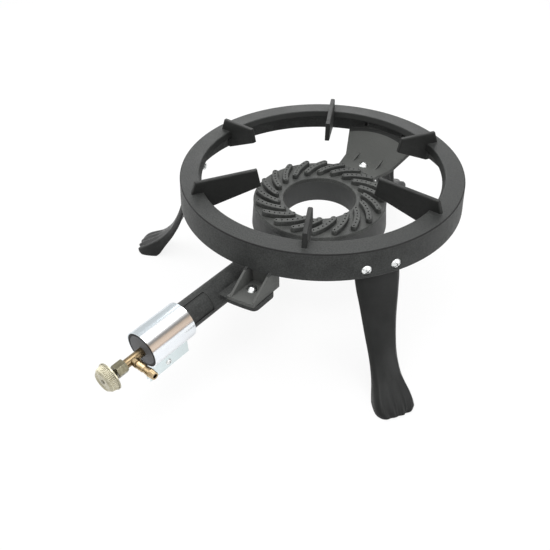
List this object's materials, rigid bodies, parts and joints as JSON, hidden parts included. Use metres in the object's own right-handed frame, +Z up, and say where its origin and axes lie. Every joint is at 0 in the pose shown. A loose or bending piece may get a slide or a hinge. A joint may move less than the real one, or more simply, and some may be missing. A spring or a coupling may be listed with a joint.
{
  "type": "cast-iron gas boiling ring",
  "caption": "Low three-legged cast-iron stand with a round burner of curved ported ridges, radial pot supports, a side mixing tube with a sliding air sleeve and a brass needle valve.",
  "frame": {"origin": "on the floor, under the centre of the ring", "axes": "+Z up; -Y along the mixing tube towards the valve; +X towards the hose tail"},
  "size_m": [0.4793, 0.6286, 0.181],
  "materials": {
    "cast_iron": "satin black over a fine sand-cast skin",
    "polished_steel": "polished sheet",
    "zinc_steel": "bright zinc plate",
    "brass": "turned, bare",
    "nickel_plate": "warm nickel plate",
    "packing": "plain"
  },
  "bodies": {
    "stand": {"top_ring": "cast_iron", "leg_front": "cast_iron", "leg_rear": "cast_iron", "leg_left": "cast_iron", "leg_screws": "zinc_steel", "leg_washers": "zinc_steel", "leg_nuts": "zinc_steel", "burner_body": "cast_iron", "burner_cap": "cast_iron", "cap_screws": "zinc_steel", "bracket_bolts": "zinc_steel", "bracket_washers": "zinc_steel", "bracket_nuts": "zinc_steel", "valve_body": "brass", "hose_barb": "brass", "gland_nut": "nickel_plate", "stem_packing": "packing", "gas_jet": "brass", "lock_nut": "brass"},
    "air_shutter": {"air_sleeve": "polished_steel", "sleeve_screw": "zinc_steel", "sleeve_nut": "zinc_steel"},
    "needle": {"valve_stem": "nickel_plate"},
    "knob": {"control_knob": "nickel_plate"}
  },
  "joints": [
    {"name": "shutter_slide", "type": "slide", "parent": "stand", "child": "air_shutter", "axis": [0, 1, 0], "range_m": [0, 0.025]},
    {"name": "stem_travel", "type": "slide", "parent": "stand", "child": "needle", "axis": [0, -1, 0], "range_m": [0, 0.0025]},
    {"name": "knob_turn", "type": "hinge", "parent": "needle", "child": "knob", "pos_m": [0, -0.35, 0.0926], "axis": [0, -1, 0], "range_deg": [0, 900]}
  ],
  "couplings": [
    {"joint": "knob_turn", "follows": "stem_travel", "rad_per_m": 6283}
  ]
}
